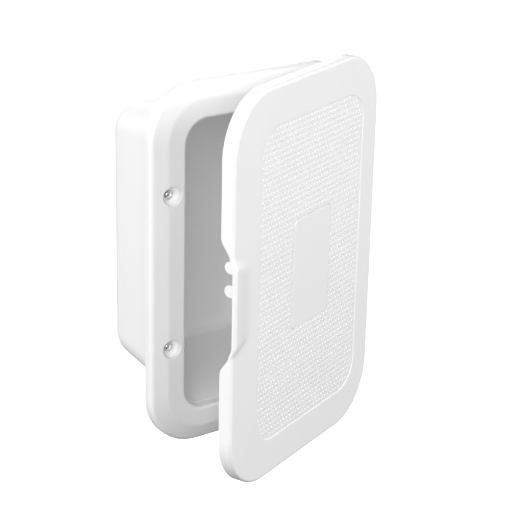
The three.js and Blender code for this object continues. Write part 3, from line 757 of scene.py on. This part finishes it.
FOAM_SECTION = ((2.55, -4.7, 0.2), (2.55, 0, 0.8), (5.95, 0, 0.8), (5.95, -4.7, 0.2))
rings = []
for inset, y in eased(FOAM_SECTION, closed=True):
    outline = rounded_outline(BEZEL_W - 2 * inset, BEZEL_H - 2 * inset, BEZEL_R - inset * BEZEL_R_LOSS)
    rings.append([(x, y, z) for x, z in outline])
wall_seal = loft("wall_seal_ring", rings, ends="joined")
soft_shaded(wall_seal)
foam_dark = rubber("seal_dark_foam", (0.045, 0.047, 0.05), 0.95, 900.0, 0.00015)
finish_piece(wall_seal, foam_dark, "box", "foam_seal", "wall_seal")

# ---- wall screws -----------------------------------------------------------------------------
# Bright domed stainless screws with a cross recess, one in each cup of the bezel, with a coarse
# thread for the wall behind.


def screw_metal(name, tone, roughness, streak):
    """Turned metal: fine rings left by the lathe, faint stains and a brushed gloss."""
    material, link, shader, node = shader_nodes(name)
    place = node("ShaderNodeTexCoord")
    stains = node("ShaderNodeTexNoise", Scale=420.0, Detail=5.0, Roughness=0.6)
    link(place.outputs["Object"], stains.inputs["Vector"])
    tint = node("ShaderNodeValToRGB")
    tint.color_ramp.elements[0].position = 0.3
    tint.color_ramp.elements[0].color = (*[value * 0.82 for value in tone], 1)
    tint.color_ramp.elements[1].position = 0.65
    tint.color_ramp.elements[1].color = (*tone, 1)
    link(stains.outputs["Fac"], tint.inputs["Fac"])
    link(tint.outputs["Color"], shader.inputs["Base Color"])
    gloss = node("ShaderNodeMapRange")
    gloss.inputs["To Min"].default_value = roughness - 0.05
    gloss.inputs["To Max"].default_value = roughness + 0.08
    link(stains.outputs["Fac"], gloss.inputs["Value"])
    link(gloss.outputs["Result"], shader.inputs["Roughness"])
    scratches = node("ShaderNodeTexNoise", Scale=3200.0, Detail=2.0)
    link(place.outputs["Object"], scratches.inputs["Vector"])
    bump = node("ShaderNodeBump", Strength=streak, Distance=0.00001)
    link(scratches.outputs["Fac"], bump.inputs["Height"])
    link(bump.outputs["Normal"], shader.inputs["Normal"])
    shader.inputs["Metallic"].default_value = 1.0
    return material


THREAD_STEPS = 8                  # rows of points to each turn of thread
POINT_TURNS, POINT_R = 3, 0.35    # turns over which the tip narrows, and the share of its radius left


def threaded(name, centre, profile, core, depth, pitch, start, end, sides=28):
    """A screw: its head and tip are turned, and a helical thread runs between start and end."""
    cx, cy, cz = centre
    rows = []
    for radius, along in profile:
        rows.append([(radius, along)] * sides)
    steps = int((end - start) / pitch * THREAD_STEPS)
    thread = []
    for i in range(steps + 1):
        along = start + (end - start) * i / steps
        fade = min(1, (along - start) / pitch, (end - along) / pitch)
        row = []
        for k in range(sides):
            phase = (along / pitch - k / sides) % 1
            crest = max(0, 1 - abs(phase - 0.5) * 4)
            taper = min(1, (end - along) / (POINT_TURNS * pitch) + POINT_R)
            row.append(((core + depth * crest * fade) * taper, along))
        thread.append(row)
    at = next(i for i, (_, along) in enumerate(profile) if along >= end)
    rows[at:at] = thread
    rings = []
    for row in rows:
        ring = []
        for k, (radius, along) in enumerate(row):
            a = 2 * math.pi * k / sides
            ring.append((cx + radius * math.cos(a), cy + along, cz + radius * math.sin(a)))
        rings.append(ring)
    return loft(name, rings, ends="points")


def cross_recess(piece, x, z, low, high, long, thick):
    """Cuts a driver's cross into a head at (x, z), between two depths; its arms are half sizes."""
    for arm_x, arm_z in ((long, thick), (thick, long)):
        cut(piece, block("arm", (x - arm_x, low, z - arm_z), (x + arm_x, high, z + arm_z)))


HEAD_R, HEAD_UP, HEAD_SIDE = 2.8, 2.4, 0.8
DOME_STEPS, DOME_REACH = 8, 80    # the dome's degrees from its crown to its side
SEAT_Y = WELL_FLOOR_Y - GAP
CROWN_TOP = SEAT_Y - HEAD_UP
SHANK_R, CORE_R, THREAD_UP, THREAD_PITCH = 1.5, 1.35, 0.55, 1.8
THREAD_FROM, THREAD_TO, POINT_Y = SEAT_Y + 2.5, SEAT_Y + 26.5, SEAT_Y + 28
bright_steel = screw_metal("screw_bright_steel", (0.94, 0.94, 0.94), 0.1, 0.15)
for name in WALL_SCREWS:
    x, _, z = middle(name)
    head = [(0, CROWN_TOP)]
    for k in range(1, DOME_STEPS + 1):
        a = math.radians(DOME_REACH * k / DOME_STEPS)
        dome_y = SEAT_Y - HEAD_SIDE - (HEAD_UP - HEAD_SIDE) * math.cos(a)
        head.append((HEAD_R * math.sin(a) / math.sin(math.radians(DOME_REACH)), dome_y))
    head += [(HEAD_R, SEAT_Y - 0.1), (HEAD_R - 0.1, SEAT_Y), (SHANK_R, SEAT_Y),
             (SHANK_R, SEAT_Y + 2.4), (0.0, POINT_Y)]
    screw = threaded(name.replace("wall_screw", "domed_screw"), (x, 0, z), head,
                     CORE_R, THREAD_UP, THREAD_PITCH, THREAD_FROM, THREAD_TO)
    cross_recess(screw, x, z, low=CROWN_TOP - 3, high=CROWN_TOP + 0.9, long=1.25, thick=0.3)
    soft_shaded(screw)
    finish_piece(screw, bright_steel, "box", "bright_steel", name)

# ---- tub screws ------------------------------------------------------------------------------
# Small zinc-plated pan-head screws that hold the tub's flange in the bezel's back.

zinc = screw_metal("screw_zinc_steel", (0.56, 0.58, 0.57), 0.34, 0.5)
PAN_SCREW = ((0, -8), (0.5, -7.6), (1.2, -7.0), (1.4, -6.6), (1.4, 0), (2.8, 0), (2.8, 0.6),
             (2.6, 1.1), (2.1, 1.5), (1.2, 1.75), (0, 1.8))
for name in TUB_SCREWS:
    x, _, z = middle(name)
    screw = turned(name.replace("tub_screw", "pan_screw"), PAN_SCREW, (x, 0, z), sides=32)
    cross_recess(screw, x, z, low=0.9, high=3, long=1.3, thick=0.28)
    soft_shaded(screw)
    finish_piece(screw, zinc, "box", "zinc_steel", name)

# ---- hinge pins ------------------------------------------------------------------------------
# Plain steel pins dropped through the knuckles from above, each with a small head.

pin_steel = screw_metal("pin_plain_steel", (0.6, 0.61, 0.62), 0.25, 0.4)
for name, z in zip(sorted(HINGE_PINS, reverse=True), HINGE_HEIGHTS):
    half = EAR_LONG / 2 + KNUCKLE_LONG + 0.4
    top = half + GAP
    profile = ((0, -half), (1.1, -half), (1.5, -half + 0.5), (1.5, top), (1.9, top), (1.9, top + 0.6),
               (1.6, top + 1.1), (0.8, top + 1.38), (0, top + 1.4))
    place = (HINGE_X, HINGE_Y, z)
    pin = turned(name.replace("hinge_pin", "headed_pin"), profile, place, axis="Z", sides=32)
    soft_shaded(pin)
    finish_piece(pin, pin_steel, "box", "pin_steel", name)

# ---- studio ----------------------------------------------------------------------------------
# A pale floor well below the box, a soft white surround and large soft lamps. The floor glows just
# enough to look white, but neither lights the box nor shows in its gloss.

FLOOR_DROP, FLOOR_HALF = 0.9, 14.0
floor_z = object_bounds()[0].z - FLOOR_DROP
bm = bmesh.new()
corners = [(x * FLOOR_HALF, y * FLOOR_HALF) for x, y in ((-1, -1), (1, -1), (1, 1), (-1, 1))]
bm.faces.new([bm.verts.new((x, y, floor_z)) for x, y in corners])
mesh = bpy.data.meshes.new("floor")
bm.to_mesh(mesh)
bm.free()
floor = bpy.data.objects.new("floor", mesh)
bpy.context.scene.collection.objects.link(floor)
floor_pale, _, shader, _ = shader_nodes("floor_pale")
shader.inputs["Base Color"].default_value = (0.85, 0.85, 0.85, 1)
shader.inputs["Roughness"].default_value = 0.9
shader.inputs["Emission Color"].default_value = (1, 1, 1, 1)
shader.inputs["Emission Strength"].default_value = 1.0
floor_pale.cycles.emission_sampling = "NONE"
floor.data.materials.append(floor_pale)
floor.visible_diffuse = False
floor.visible_glossy = False

# The surround adds a little light from all sides, and looks plain white itself.
world = bpy.data.worlds.new("surround")
world.use_nodes = True
bpy.context.scene.world = world
tree = world.node_tree
glow = tree.nodes["Background"]
glow.inputs["Color"].default_value = (1, 1, 1, 1)
glow.inputs["Strength"].default_value = 0.13
backdrop = tree.nodes.new("ShaderNodeBackground")
backdrop.inputs["Color"].default_value = (1, 1, 1, 1)
sight = tree.nodes.new("ShaderNodeLightPath")
either = tree.nodes.new("ShaderNodeMixShader")
tree.links.new(sight.outputs["Is Camera Ray"], either.inputs["Fac"])
tree.links.new(glow.outputs["Background"], either.inputs[1])
tree.links.new(backdrop.outputs["Background"], either.inputs[2])
tree.links.new(either.outputs["Shader"], tree.nodes["World Output"].inputs["Surface"])


def soft_lamp(name, place, size, power):
    """A square soft box that faces the middle of the object."""
    lamp = bpy.data.lights.new(name, "AREA")
    lamp.shape = "SQUARE"
    lamp.size = size
    lamp.energy = power
    holder = bpy.data.objects.new(name, lamp)
    holder.location = place
    holder.rotation_euler = (-Vector(place)).to_track_quat("-Z", "Y").to_euler()
    bpy.context.scene.collection.objects.link(holder)
    return holder


soft_lamp("lamp_left_front", (-1.3, -1.2, 0.6), 1.2, 24)
soft_lamp("lamp_left_back", (-1.7, 0.5, 0.5), 1.2, 18.5)
soft_lamp("lamp_right_front", (1.2, -1.5, 0.8), 1.2, 30)
soft_lamp("lamp_above", (0.0, -0.5, 2.0), 1.4, 8.5)
soft_lamp("lamp_behind", (0.8, 1.8, 0.7), 1.2, 14)

# ---- camera ----------------------------------------------------------------------------------
# A long lens from the left and a little above, held very slightly off level.

CAMERA_AZIMUTH, CAMERA_ELEVATION, CAMERA_ROLL = map(math.radians, (-35.76, 20.38, 1.21))
CAMERA_AWAY = 1.2706
CAMERA_TARGET = Vector((1.43, -8.5, -1.37)) * MM
back = Vector((math.sin(CAMERA_AZIMUTH) * math.cos(CAMERA_ELEVATION),
               -math.cos(CAMERA_AZIMUTH) * math.cos(CAMERA_ELEVATION), math.sin(CAMERA_ELEVATION)))
right = Vector((math.cos(CAMERA_AZIMUTH), math.sin(CAMERA_AZIMUTH), 0))
up = back.cross(right)
right = right * math.cos(CAMERA_ROLL) + up * math.sin(CAMERA_ROLL)
up = back.cross(right)
lens = bpy.data.cameras.new("camera")
lens.lens = 117.76
lens.sensor_width = 36
lens.clip_start, lens.clip_end = 0.05, 40
camera = bpy.data.objects.new("camera", lens)
turn = Matrix((right, up, back)).transposed().to_4x4()
camera.matrix_world = Matrix.Translation(CAMERA_TARGET + back * CAMERA_AWAY) @ turn
bpy.context.scene.collection.objects.link(camera)
bpy.context.scene.camera = camera
bpy.context.scene.view_settings.view_transform = "Standard"
